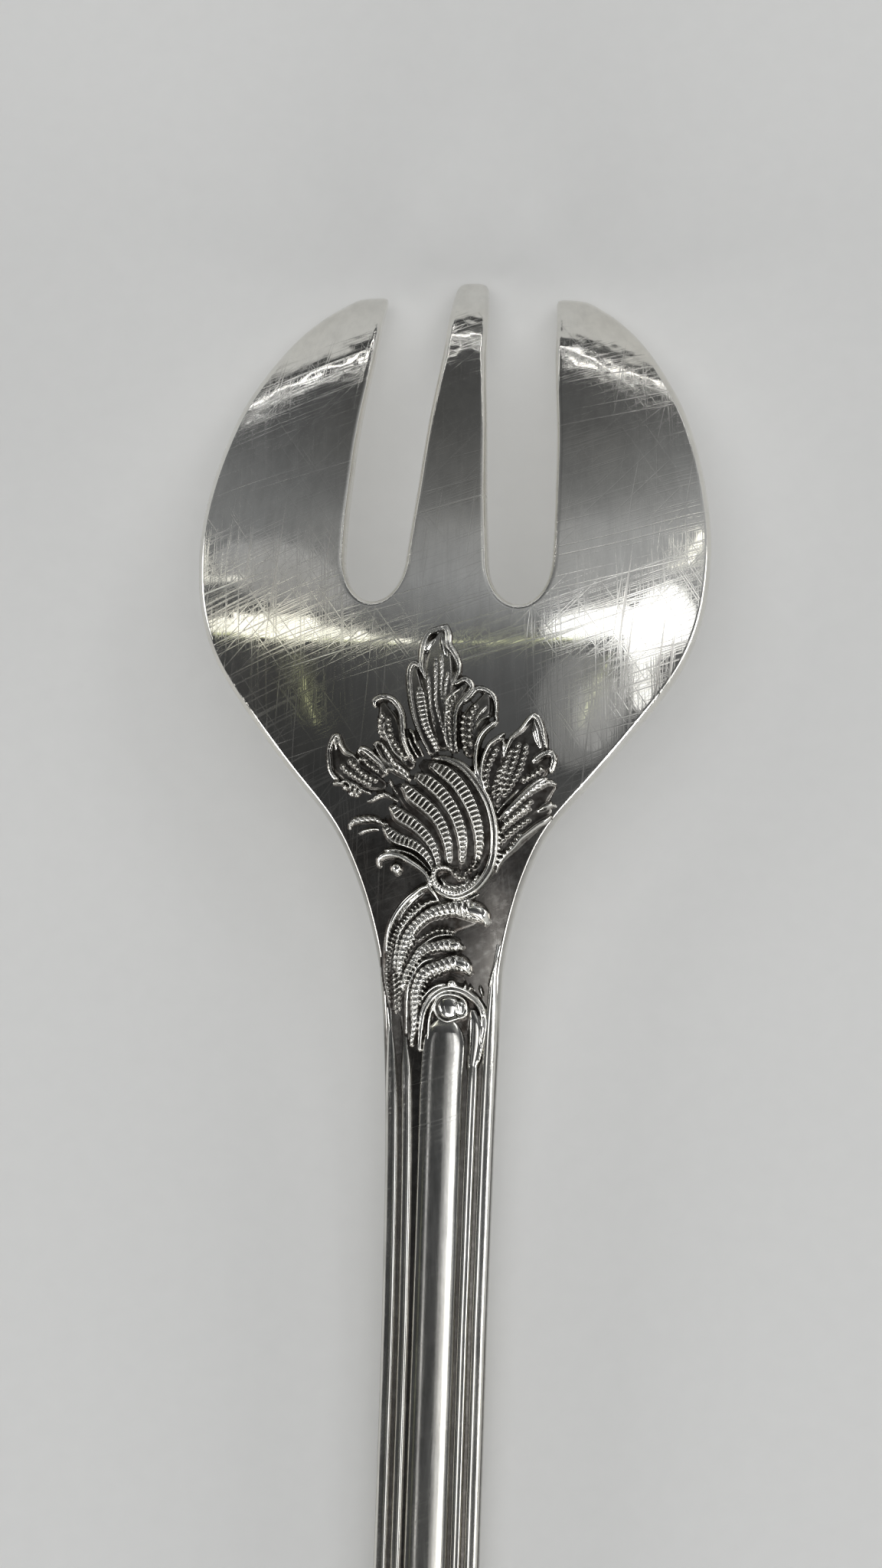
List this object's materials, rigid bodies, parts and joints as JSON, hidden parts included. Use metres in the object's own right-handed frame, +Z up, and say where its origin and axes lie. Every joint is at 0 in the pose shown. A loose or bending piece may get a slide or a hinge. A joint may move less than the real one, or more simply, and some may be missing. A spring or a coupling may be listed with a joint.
{
  "type": "oyster fork",
  "caption": "Small table fork with a broad rounded bowl, wide outer tines, raised leaf and shell ornament on its back and a threaded handle, for opened oysters.",
  "frame": {"origin": "on the table under the middle of the fork's length and width", "axes": "+Y along the length towards the tine tips, +X across the head, +Z up from the table to the back of the fork"},
  "size_m": [0.0258, 0.15, 0.0115],
  "materials": {
    "polished_silver": "polished silver plate with fine hairline scratches and a faint warm tarnish",
    "sunk_ground": "polished silver plate, darker in the grooves beside the threads",
    "chased_relief": "struck relief, bright on its crests with dark patina in its hollows",
    "thread": "smooth raised thread and panel, lightly scratched"
  },
  "bodies": {
    "root": {"left_tine": "polished_silver", "middle_tine": "polished_silver", "right_tine": "polished_silver", "bowl": "polished_silver", "neck": "polished_silver", "stem": "sunk_ground", "handle_end": "sunk_ground", "crest_leaf": "chased_relief", "crest_side_leaves": "chased_relief", "hook_leaves": "chased_relief", "left_leaves": "chased_relief", "right_leaf": "chased_relief", "right_lower_leaves": "chased_relief", "shell_fan": "chased_relief", "fan_scroll": "chased_relief", "volute": "chased_relief", "pearl": "chased_relief", "plume": "chased_relief", "plume_edge": "chased_relief", "panel_arch": "thread", "arch_bead": "thread", "panel": "thread", "left_outer_thread": "thread", "right_outer_thread": "thread", "left_inner_thread": "thread", "right_inner_thread": "thread", "end_shell": "chased_relief", "end_scrolls": "chased_relief"}
  },
  "joints": []
}
